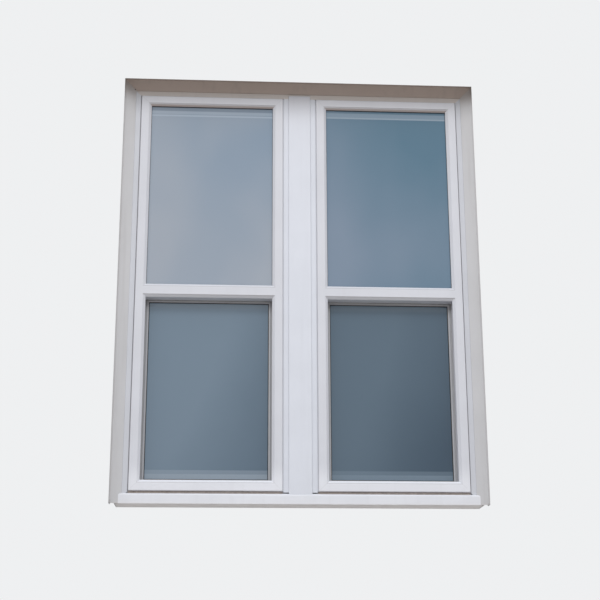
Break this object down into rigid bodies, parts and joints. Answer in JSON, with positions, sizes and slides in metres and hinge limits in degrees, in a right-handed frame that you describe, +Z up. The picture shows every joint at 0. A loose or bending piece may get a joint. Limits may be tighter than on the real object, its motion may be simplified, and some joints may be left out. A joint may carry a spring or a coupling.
{
  "type": "twin single-hung sash window",
  "caption": "White vinyl window of two single-hung units side by side: fixed upper lites, lower sashes that slide up behind them, bevelled outside covers, no wall.",
  "frame": {"origin": "middle of the sill's underside: half way across the window and half way through the depth of the frame", "axes": "+X to the right seen from outside, +Y from the outside towards the room, +Z up"},
  "size_m": [1.06, 0.094, 1.2835],
  "materials": {
    "cover_vinyl": "satin white vinyl, slightly weathered",
    "frame_vinyl": "satin white vinyl",
    "unit_vinyl": "satin white vinyl",
    "sash_vinyl": "satin white vinyl",
    "coated_glass": "clear coated glass, blue-grey",
    "spacer_aluminium": "mill finish",
    "gasket_rubber": "matt",
    "block_rubber": "matt",
    "pile": "woven pile",
    "lock_enamel": "white enamel on die casting",
    "bar_aluminium": "mill finish",
    "tube_aluminium": "satin",
    "rod_steel": "zinc plated",
    "screw_steel": "zinc plated",
    "nylon": "natural nylon"
  },
  "bodies": {
    "root": {"balance_screws": "screw_steel", "centre_mullion": "frame_vinyl", "frame_head": "frame_vinyl", "frame_left_jamb": "frame_vinyl", "frame_right_jamb": "frame_vinyl", "frame_sill": "frame_vinyl", "head_cover": "cover_vinyl", "left_balance_tubes": "tube_aluminium", "left_fixed_beads": "unit_vinyl", "left_fixed_gasket": "gasket_rubber", "left_fixed_glass_inner": "coated_glass", "left_fixed_glass_outer": "coated_glass", "left_fixed_setting_blocks": "block_rubber", "left_fixed_spacer": "spacer_aluminium", "left_jamb_cover": "cover_vinyl", "left_keeper": "lock_enamel", "left_unit_frame": "unit_vinyl", "mullion_bar": "bar_aluminium", "mullion_cover": "frame_vinyl", "right_balance_tubes": "tube_aluminium", "right_fixed_beads": "unit_vinyl", "right_fixed_gasket": "gasket_rubber", "right_fixed_glass_inner": "coated_glass", "right_fixed_glass_outer": "coated_glass", "right_fixed_setting_blocks": "block_rubber", "right_fixed_spacer": "spacer_aluminium", "right_jamb_cover": "cover_vinyl", "right_keeper": "lock_enamel", "right_unit_frame": "unit_vinyl", "sill_nose": "frame_vinyl"},
    "left_sash": {"left_sash_frame": "sash_vinyl", "left_sash_weatherstrip": "pile", "left_sash_glass_outer": "coated_glass", "left_sash_glass_inner": "coated_glass", "left_sash_spacer": "spacer_aluminium", "left_sash_gasket": "gasket_rubber", "left_sash_beads": "sash_vinyl", "left_sash_setting_blocks": "block_rubber", "left_lift_rail": "sash_vinyl", "left_lock_case": "lock_enamel", "left_balance_rods": "rod_steel", "left_balance_shoes": "nylon"},
    "left_lock": {"left_lock_cam": "lock_enamel"},
    "left_nut_a": {"left_balance_nut_a": "nylon"},
    "left_nut_b": {"left_balance_nut_b": "nylon"},
    "right_sash": {"right_sash_frame": "sash_vinyl", "right_sash_weatherstrip": "pile", "right_sash_glass_outer": "coated_glass", "right_sash_glass_inner": "coated_glass", "right_sash_spacer": "spacer_aluminium", "right_sash_gasket": "gasket_rubber", "right_sash_beads": "sash_vinyl", "right_sash_setting_blocks": "block_rubber", "right_lift_rail": "sash_vinyl", "right_lock_case": "lock_enamel", "right_balance_rods": "rod_steel", "right_balance_shoes": "nylon"},
    "right_lock": {"right_lock_cam": "lock_enamel"},
    "right_nut_a": {"right_balance_nut_a": "nylon"},
    "right_nut_b": {"right_balance_nut_b": "nylon"}
  },
  "joints": [
    {"name": "left_sash_slide", "type": "slide", "parent": "root", "child": "left_sash", "axis": [0, 0, 1], "range_m": [0, 0.46]},
    {"name": "left_lock_turn", "type": "hinge", "parent": "left_sash", "child": "left_lock", "pos_m": [-0.2645, 0.0105, 0.6347], "axis": [0, 0, -1], "range_deg": [0, 90]},
    {"name": "left_nut_a_turn", "type": "hinge", "parent": "root", "child": "left_nut_a", "pos_m": [-0.4739, 0.0165, 0.64], "axis": [0, 0, 1], "range_deg": [-1730, 0]},
    {"name": "left_nut_b_turn", "type": "hinge", "parent": "root", "child": "left_nut_b", "pos_m": [-0.0551, 0.0165, 0.64], "axis": [0, 0, 1], "range_deg": [-1730, 0]},
    {"name": "right_sash_slide", "type": "slide", "parent": "root", "child": "right_sash", "axis": [0, 0, 1], "range_m": [0, 0.46]},
    {"name": "right_lock_turn", "type": "hinge", "parent": "right_sash", "child": "right_lock", "pos_m": [0.2645, 0.0105, 0.6347], "axis": [0, 0, -1], "range_deg": [0, 90]},
    {"name": "right_nut_a_turn", "type": "hinge", "parent": "root", "child": "right_nut_a", "pos_m": [0.0551, 0.0165, 0.64], "axis": [0, 0, 1], "range_deg": [-1730, 0]},
    {"name": "right_nut_b_turn", "type": "hinge", "parent": "root", "child": "right_nut_b", "pos_m": [0.4739, 0.0165, 0.64], "axis": [0, 0, 1], "range_deg": [-1730, 0]}
  ],
  "couplings": [
    {"joint": "left_nut_a_turn", "follows": "left_sash_slide", "rad_per_m": -65.45},
    {"joint": "left_nut_b_turn", "follows": "left_sash_slide", "rad_per_m": -65.45},
    {"joint": "right_nut_a_turn", "follows": "right_sash_slide", "rad_per_m": -65.45},
    {"joint": "right_nut_b_turn", "follows": "right_sash_slide", "rad_per_m": -65.45}
  ]
}
